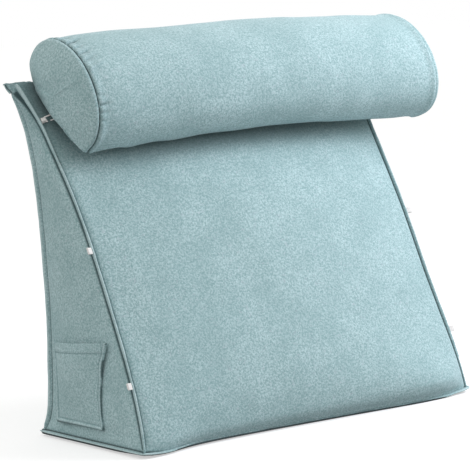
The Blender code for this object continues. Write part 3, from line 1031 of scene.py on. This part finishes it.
@dataclass
class NeckRoll:
    """The neck roll: an oval body and two crowned caps, gathered into the end seams."""

    rest: NodeMap
    under_shade: float = 0.6
    under_reach: float = 26 * MM
    left_seam: float = -266 * MM
    right_seam: float = 357 * MM
    middle_y: float = 73 * MM
    middle_z: float = 474.5 * MM
    tilt: float = math.radians(47.5)
    station_step: float = 78 * MM
    cut_gap: float = 0.5 * MM
    seam_hold_start: float = 3 * MM
    seam_hold_reach: float = 14 * MM
    rest_turns: tuple[float, float] = (-150, -15)
    rest_fade: float = 20
    seam_depth: float = 2.2 * MM
    seam_width: float = 1.3 * MM
    seam_reach: float = 60 * MM
    smooth_reach: float = 30 * MM
    welt_height: float = 0.5 * MM
    welt_place: float = 5 * MM
    welt_width: float = 3.5 * MM
    gather_height: float = 0.5 * MM
    gather_reach: float = 9 * MM
    gather_per_metre: float = 60.0
    seam_shade: float = 0.75
    tuck_shade: float = 0.75
    gathered_shade: float = 0.24
    gathered_reach: float = 36 * MM
    dent_height: float = 2.0 * MM
    radius: float = 82 * MM
    line_width: float = 0.9 * MM
    right_share: float = 0.5
    right_shade: float = 0.3
    tuck_reach: tuple[float, float] = (-2 * MM, 90 * MM)
    deepest_tuck: float = 4.4 * MM
    fill: float = 0.9
    stuffing: Stuffing = field(default_factory=lambda: Stuffing(most_out=6 * MM))
    # Distances from the end seams, in millimetres.
    left_rings: tuple[float, ...] = (-9, -4, -1.5, 0, 1.5, 4, 12, 22, 34)
    right_rings: tuple[float, ...] = (-4, -1.5, 0, 1.5, 4)
    tucks: tuple[Tuck, ...] = (
        Tuck(29, 18 * MM, 1.6 * MM, 2.2 * MM, 27),
        Tuck(41, 26 * MM, 4.6 * MM, 2.8 * MM, 36),
        Tuck(56, 34 * MM, 4.8 * MM, 2.8 * MM, 45),
        Tuck(69, 28 * MM, 2.4 * MM, 2.3 * MM, 59),
        Tuck(81, 36 * MM, 2.8 * MM, 2.4 * MM, 68),
        Tuck(93, 36 * MM, 2.6 * MM, 2.5 * MM, 80),
        Tuck(137, 18 * MM, 2.4 * MM, 1.8 * MM, 136),
        Tuck(146, 26 * MM, 3.4 * MM, 2.0 * MM, 144),
        Tuck(153, 19 * MM, 2.8 * MM, 1.8 * MM, 152),
        Tuck(160, 14 * MM, 1.8 * MM, 1.8 * MM, 160),
        Tuck(106, 46 * MM, -2.6 * MM, 4.0 * MM, 90),
        Tuck(118, 22 * MM, -1.0 * MM, 5.0 * MM, 107, -24 * MM),
    )

    def turn_at(self, place: Vector) -> float:
        """How far round the roll a place lies, in degrees from its top over the front.

        Args:
            place: a place on the piece.

        Returns:
            The turn, from -180 to 180.
        """
        y, z = place.y - self.middle_y, place.z - self.middle_z
        up = y * math.sin(self.tilt) + z * math.cos(self.tilt)
        out = -y * math.cos(self.tilt) + z * math.sin(self.tilt)
        return math.degrees(math.atan2(out, up))

    def cut_stations(self, body: bmesh.types.BMesh) -> None:
        """Cuts rings along the roll, close together at the end seams.

        Args:
            body: the mesh that is worked on.
        """
        places = []
        for reach in self.left_rings:
            places.append(self.left_seam + reach * MM)
        for reach in self.right_rings:
            places.append(self.right_seam - reach * MM)
        count = round((self.right_seam - self.left_seam) / self.station_step)
        for index in range(1, count):
            share = index / count
            places.append(self.left_seam + share * (self.right_seam - self.left_seam))
        for place in places:
            everything = body.verts[:] + body.edges[:] + body.faces[:]
            bmesh.ops.bisect_plane(
                body,
                geom=everything,
                dist=self.cut_gap,
                plane_co=(place, 0, 0),
                plane_no=(1, 0, 0),
            )

    def held(self, place: Vector) -> float:
        """How firmly the cover is held: at the end seams and where the roll rests.

        Args:
            place: a place on the piece.

        Returns:
            The hold, from 0 to 1.
        """
        nearest = min(abs(place.x - self.left_seam), abs(place.x - self.right_seam))
        at_seam = 1 - smoothstep((nearest - self.seam_hold_start) / self.seam_hold_reach)
        turn = self.turn_at(place)
        low, high = self.rest_turns
        at_back = smoothstep((high - turn) / self.rest_fade)
        at_back *= smoothstep((turn - low) / self.rest_fade)
        return max(at_seam, at_back)

    def seam_relief(self, place: Vector) -> float:
        """The end seams, their gathers and the soft dents of the body.

        Args:
            place: a place on the piece.

        Returns:
            The height along the normal, in metres.
        """
        turn = self.turn_at(place)
        height = self.dent_height * (
            soft_noise(place, 8.0, 5.0) + 0.4 * soft_noise(place, 21.0, 8.0)
        )
        for seam, inward in ((self.left_seam, 1), (self.right_seam, -1)):
            off = (place.x - seam) * inward
            if abs(off) > self.seam_reach:
                continue
            height *= smoothstep(abs(off) / self.smooth_reach)
            depth = self.seam_depth if inward == 1 else self.right_share * self.seam_depth
            height -= depth * math.exp(-((off / self.seam_width) ** 2))
            welt = (abs(off) - self.welt_place) / self.welt_width
            height += self.welt_height * math.exp(-(welt**2))
            gather = soft_noise(Vector((seam, place.y, place.z)), self.gather_per_metre, 1.5)
            height += self.gather_height * gather * math.exp(-abs(off) / self.gather_reach)
            if inward == 1:
                height -= sum(tuck.depth_at(turn, off, self.radius) for tuck in self.tucks)
        return height

    def shade(self, place: Vector) -> float:
        """The painted shade in the end seams, at the bottoms of the tucks, by the gathers and
        where the roll rests on the wedge.

        Args:
            place: a place on the piece.

        Returns:
            The tone, from -1 to 1.
        """
        off = place.x - self.left_seam
        line = self.seam_shade * math.exp(-((off / self.line_width) ** 2))
        far = (place.x - self.right_seam) / self.line_width
        _, under = self.rest.nearest(place)
        line += self.right_shade * self.seam_shade * math.exp(-(far**2))
        line += self.under_shade * (1 - smoothstep(under / self.under_reach))
        if not self.tuck_reach[0] < off < self.tuck_reach[1]:
            return line
        line += self.gathered_shade * math.exp(-((off / self.gathered_reach) ** 2))
        turn = self.turn_at(place)
        deepest = max(tuck.depth_at(turn, off, self.radius) for tuck in self.tucks)
        return max(line, self.tuck_shade * smoothstep(deepest / self.deepest_tuck))

    def build(self, finishes: Finishes) -> bpy.types.Object:
        """Makes the neck roll.

        Args:
            finishes: the finished materials.

        Returns:
            The finished piece.
        """
        piece = merged_copy("neck_roll", "roll")
        edit(piece, self.cut_stations)
        subdivide(piece, 2)
        self.stuffing.swell(piece, self.held)
        subdivide(piece, 1)
        shades = np.array([self.shade(Vector(point)) for point in read_points(piece)])
        push(piece, self.seam_relief)
        paint_shade(piece, shades)
        seat(piece, finishes.pile, "cloth", "neck_roll")
        return piece


@dataclass
class SidePocket:
    """The patch pocket on the left side, with its turned and stitched hem."""

    hem_depth: float = 13 * MM
    hem_swell: float = 0.9 * MM
    groove_depth: float = 0.9 * MM
    groove_width: float = 1.2 * MM
    edge_ridge: float = 0.8 * MM
    edge_stitch_in: float = 5 * MM
    stitch_pitch: float = 4.2 * MM
    thread_half_width: float = 0.45 * MM
    thread_rise: float = 0.35 * MM
    thread_seat: float = 0.15 * MM
    outside_x: float = -0.4
    dent_height: float = 1.2 * MM
    flat_width: float = 118 * MM
    flat_length: float = 128 * MM
    foot_height: float = 28 * MM
    mouth_middle: float = 141 * MM
    mouth_rise: float = 11 * MM
    draw_from: float = 50 * MM
    draw_over: float = 90 * MM
    mouth_draw: float = 4.5 * MM
    mouth_lift: float = 3.0 * MM
    back_edge: float = 80 * MM
    front_edge: float = -46 * MM
    level_span: tuple[float, float, int] = (36 * MM, 144 * MM, 10)
    level_reach: float = 7 * MM
    straight_below: float = 126 * MM
    hem_fade: float = 1.5 * MM
    ridge_in: float = 2 * MM
    ridge_width: float = 2 * MM
    dent_fade: float = 20 * MM
    dent_per_metre: float = 24.0
    side_share: float = 0.8
    edge_shade: float = 0.7
    edge_light: float = 0.35
    hem_shade: float = 0.5
    stitch_shade: float = 0.4

    def across(self, place: Vector) -> float:
        """How far across the pocket a place lies, from its back edge to its front edge."""
        share = (self.back_edge - place.y) / (self.back_edge - self.front_edge)
        return min(max(share, 0.0), 1.0)

    def mouth_height(self, place: Vector) -> float:
        """The height of the mouth's edge over a place."""
        return self.mouth_middle + self.mouth_rise * (self.across(place) - 0.5)

    def close_mouth(self, piece: bpy.types.Object) -> None:
        """Draws the mouth towards the panel, where nothing is carried in the pocket.

        Args:
            piece: the piece that is worked on.
        """
        points = read_points(piece)
        for point in points:
            middle = math.sin(math.pi * self.across(Vector(point)))
            up = smoothstep((point[2] - self.draw_from) / self.draw_over)
            point[0] += self.mouth_draw * middle * up
            point[2] += self.mouth_lift * middle * up * up
        write_points(piece, points)

    def find_edges(self, piece: bpy.types.Object) -> None:
        """Measures the two upright edges at a few heights.

        Args:
            piece: the piece that is worked on.
        """
        points = read_points(piece)
        self.levels = np.linspace(*self.level_span)
        rows = [
            points[np.abs(points[:, 2] - level) < self.level_reach, 1] for level in self.levels
        ]
        self.fronts = np.array([row.min() for row in rows])
        below_mouth = self.levels < self.straight_below
        backs = np.array([row.max() for row in rows])
        line = np.polyfit(self.levels[below_mouth], backs[below_mouth], 1)
        self.backs = np.polyval(line, self.levels)

    def edge_distance(self, place: Vector) -> float:
        """How far inside the sewn edges a place lies.

        Args:
            place: a place on the piece.

        Returns:
            The distance, in metres.
        """
        front = float(np.interp(place.z, self.levels, self.fronts))
        back = float(np.interp(place.z, self.levels, self.backs))
        return min(place.y - front, back - place.y, place.z - self.foot_height)

    def relief(self, place: Vector) -> float:
        """The hem's extra thickness, the stitch lines and the cloth's soft dents.

        Args:
            place: a place on the piece.

        Returns:
            The height along the normal, in metres.
        """
        below = self.mouth_height(place) - place.z
        hem = self.hem_swell * (1 - smoothstep((below - self.hem_depth) / self.hem_fade))
        line = self.groove_depth * math.exp(-(((below - self.hem_depth) / self.groove_width) ** 2))
        inside = self.edge_distance(place)
        ridge = self.edge_ridge * math.exp(-(((inside - self.ridge_in) / self.ridge_width) ** 2))
        stitched = (inside - self.edge_stitch_in) / self.groove_width
        dents = self.dent_height * soft_noise(place, self.dent_per_metre, 6.0)
        dents *= smoothstep(below / self.dent_fade)
        groove = max(line, self.groove_depth * self.side_share * math.exp(-(stitched**2)))
        return 0.5 * hem + ridge - groove + dents * 0.6

    def shade(self, place: Vector) -> float:
        """The painted shade of the stitch lines, the hem line and the sewn edge, less a painted
        highlight on the edge ridge.

        Args:
            place: a place on the piece.

        Returns:
            The tone, from -1 to 1.
        """
        below = (self.mouth_height(place) - place.z - self.hem_depth) / MM
        inside = self.edge_distance(place)
        edge = self.edge_shade * (1 - smoothstep(inside / (1.0 * MM)))
        stitched = (inside - self.edge_stitch_in) / MM
        ridge = self.edge_light * math.exp(-(((inside / MM - 2.4) / 1.2) ** 2))
        at_hem = self.hem_shade * math.exp(-(below**2))
        at_stitches = self.stitch_shade * math.exp(-(stitched**2))
        return max(edge, at_hem, at_stitches) - ridge

    def build(self, finishes: Finishes) -> bpy.types.Object:
        """Makes the pocket's cloth.

        Args:
            finishes: the finished materials.

        Returns:
            The finished piece.
        """
        piece = merged_copy("side_pocket", "pocket")
        self.find_edges(piece)
        crease_sharp_edges(piece, math.radians(50), 0.7)
        subdivide(piece, 3)
        self.close_mouth(piece)
        shades = np.array([self.shade(Vector(point)) for point in read_points(piece)])
        push(piece, self.relief)
        paint_shade(piece, shades)
        seat(piece, finishes.pile, "cloth", "side_pocket")
        stitches = self.sew(surface_tree(piece), finishes.thread)
        return piece

    def stitch_places(self) -> list[tuple[float, float]]:
        """Where the stitches lie on the panel, as Y and Z: hem, bottom and both sides.

        Returns:
            The places.
        """
        pitch, inset = self.stitch_pitch, self.edge_stitch_in
        places = []
        low, high = self.foot_height + inset, self.straight_below
        for height in np.arange(low + pitch, high, pitch):
            front = float(np.interp(height, self.levels, self.fronts))
            back = float(np.interp(height, self.levels, self.backs))
            places += [(front + inset, float(height)), (back - inset, float(height))]
        reach = (self.fronts[0] + inset, self.backs[0] - inset)
        places += [(float(y), low) for y in np.arange(*reach, pitch)]
        reach = (self.fronts[-1] + inset, self.backs[-1] - inset)
        for y in np.arange(*reach, pitch):
            mouth = self.mouth_height(Vector((0.0, float(y), 0.0)))
            places.append((float(y), mouth - self.hem_depth))
        return places

    def sew(self, cover: BVHTree, finish: bpy.types.Material) -> bpy.types.Object:
        """Makes the stitches of the hem and the sewn edges as one piece.

        Args:
            cover: the pocket's faces.
            finish: the thread's material.

        Returns:
            The finished piece.
        """
        body = bmesh.new()
        places = self.stitch_places()
        reach = 1.5 * self.stitch_pitch
        half_length = 0.38 * self.stitch_pitch
        for y, z in places:
            start = Vector((self.outside_x, y, z))
            found, normal, _, _ = cover.ray_cast(start, Vector((1.0, 0.0, 0.0)))
            if found is None:
                continue
            close = [other for other in places if 0 < math.dist(other, (y, z)) < reach]
            ahead = Vector((0.0, close[0][0] - y, close[0][1] - z)) if close else Vector((0, 1, 0))
            along = (ahead - normal * ahead.dot(normal)).normalized()
            turned = Matrix((along, normal.cross(along), normal)).transposed().to_4x4()
            made = bmesh.ops.create_uvsphere(body, u_segments=8, v_segments=5, radius=1.0)
            size = Matrix.Diagonal((half_length, self.thread_half_width, self.thread_rise, 1.0))
            seated = Matrix.Translation(found + normal * self.thread_seat)
            bmesh.ops.transform(body, matrix=seated @ turned @ size, verts=made["verts"])
        mesh = bpy.data.meshes.new("pocket_stitches")
        body.to_mesh(mesh)
        body.free()
        return seat(linked_object("pocket_stitches", mesh), finish, "cloth")


@dataclass
class Fastenings:
    """The ribbon loops, the hooks through the top loops and the straps on the hooks."""

    def build(self, finishes: Finishes) -> list[bpy.types.Object]:
        """Makes each small piece.

        Args:
            finishes: the finished materials.

        Returns:
            The finished pieces.
        """
        made = []
        for side in Side:
            end = side.value
            for row in ("top", "middle", "bottom"):
                made.append(self.ribbon(f"loop_{row}_{end}", finishes.ribbon, "ribbon"))
            made.append(self.ribbon(f"strap_{end}", finishes.pile, "cloth"))
            hook = merged_copy(f"hook_{end}", f"hanging_hook_{end}")
            subdivide(hook, 2)
            made.append(seat(hook, finishes.plastic, "hook_plastic", f"hook_{end}"))
        return made

    def ribbon(self, node: str, finish: bpy.types.Material, slot: str) -> bpy.types.Object:
        """Makes one folded ribbon.

        Args:
            node: the solid's name.
            finish: the material.
            slot: the record's material slot.

        Returns:
            The finished piece.
        """
        piece = merged_copy(node, f"sewn_{node}")
        crease_sharp_edges(piece, math.radians(50), 0.8)
        subdivide(piece, 3)
        push(piece, lambda place: 0.12 * MM * soft_noise(place, 400.0))
        return seat(piece, finish, slot, node)


@dataclass
class Studio:
    """The floor, the lights and the camera."""

    lens: float = 159.15
    azimuth: float = math.radians(-38.8)
    elevation: float = math.radians(6.3)
    roll: float = math.radians(-2.4)
    eye: tuple[float, float, float] = (-1.8811, -2.2954, 0.5882)
    floor_size: float = 60.0
    fill_strength: float = 0.68
    fill_colour: Colour = (1.0, 0.985, 0.965)
    key_power: float = 28.0
    key_colour: Colour = (0.90, 0.92, 1.0)
    key_size: float = 1.1
    key_place: tuple[float, float, float] = (1.15, -0.75, 1.2)
    key_aim: tuple[float, float, float] = (0.0, 0.0, 0.3)
    rim_strength: float = 0.75
    rim_softness: float = math.radians(90)
    rim_from: tuple[float, float, float] = (-0.75, 0.45, 0.5)

    def build(self, finishes: Finishes) -> None:
        """Sets the scene.

        Args:
            finishes: the finished materials.
        """
        self.floor(finishes.paint)
        self.lights()
        self.camera()
        view = bpy.context.scene.view_settings
        view.view_transform = "Standard"

    def floor(self, paint: bpy.types.Material) -> None:
        """Lays the floor.

        Args:
            paint: the floor's material.
        """
        mesh = bpy.data.meshes.new("studio_floor")
        body = bmesh.new()
        bmesh.ops.create_grid(body, x_segments=1, y_segments=1, size=self.floor_size / 2)
        body.to_mesh(mesh)
        body.free()
        floor = linked_object("studio_floor", mesh)
        floor.data.materials.append(paint)

    def lights(self) -> None:
        """Lights the room evenly, with a soft key light and a weak one from behind."""
        world = bpy.data.worlds.new("studio")
        world.use_nodes = True
        tree = world.node_tree
        fill = tree.nodes["Background"]
        fill.inputs["Color"].default_value = (*self.fill_colour, 1.0)
        fill.inputs["Strength"].default_value = self.fill_strength
        backdrop = tree.nodes.new("ShaderNodeBackground")
        backdrop.inputs["Color"].default_value = (1.0, 1.0, 1.0, 1.0)
        path = tree.nodes.new("ShaderNodeLightPath")
        shown = tree.nodes.new("ShaderNodeMixShader")
        tree.links.new(path.outputs["Is Camera Ray"], shown.inputs[0])
        tree.links.new(fill.outputs[0], shown.inputs[1])
        tree.links.new(backdrop.outputs[0], shown.inputs[2])
        tree.links.new(shown.outputs[0], tree.nodes["World Output"].inputs["Surface"])
        bpy.context.scene.world = world
        key = bpy.data.lights.new("key", "AREA")
        key.energy = self.key_power
        key.size = self.key_size
        key.color = self.key_colour
        self.hang(key, Vector(self.key_place), Vector(self.key_place) - Vector(self.key_aim))
        rim = bpy.data.lights.new("rim", "SUN")
        rim.energy = self.rim_strength
        rim.angle = self.rim_softness
        self.hang(rim, Vector(self.rim_from), Vector(self.rim_from))

    def hang(self, light: bpy.types.Light, place: Vector, back: Vector) -> None:
        """Puts a light at a place, with its back turned a way.

        Args:
            light: the light.
            place: where it hangs.
            back: the way that its back faces.
        """
        lamp = bpy.data.objects.new(light.name, light)
        lamp.location = place
        lamp.rotation_mode = "QUATERNION"
        lamp.rotation_quaternion = back.to_track_quat("Z", "Y")
        lamp.visible_camera = False
        bpy.context.scene.collection.objects.link(lamp)

    def camera(self) -> None:
        """Places the camera."""
        a, e, r = self.azimuth, self.elevation, self.roll
        back = Vector((math.sin(a) * math.cos(e), -math.cos(a) * math.cos(e), math.sin(e)))
        level = Vector((math.cos(a), math.sin(a), 0.0))
        upright = back.cross(level)
        right = level * math.cos(r) + upright * math.sin(r)
        up = upright * math.cos(r) - level * math.sin(r)
        lens = bpy.data.cameras.new("camera")
        lens.lens = self.lens
        lens.sensor_width = 36.0
        lens.clip_start, lens.clip_end = 0.1, 100.0
        camera = bpy.data.objects.new("camera", lens)
        turn = Matrix((right, up, back)).transposed().to_4x4()
        camera.matrix_world = Matrix.Translation(self.eye) @ turn
        bpy.context.scene.collection.objects.link(camera)
        bpy.context.scene.camera = camera


FLANGE_NODES = (
    "seam_front_left",
    "seam_front_right",
    "seam_back_left",
    "seam_back_right",
    "seam_base",
    "seam_top",
)


def main() -> None:
    """Builds the cushion and its studio."""
    logging.basicConfig(level=logging.INFO, format="%(name)s %(message)s")
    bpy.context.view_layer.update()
    finishes = Finishes.made()
    flanges = NodeMap(FLANGE_NODES)
    Studio().build(finishes)
    wedge = Wedge(flanges, NodeMap(("neck_roll",))).build(finishes)
    BasePanel().build(finishes)
    Flanges(FLANGE_NODES, surface_tree(wedge)).build(finishes)
    NeckRoll(NodeMap(("wedge_body",))).build(finishes)
    SidePocket().build(finishes)
    Fastenings().build(finishes)


if __name__ == "__main__":
    main()
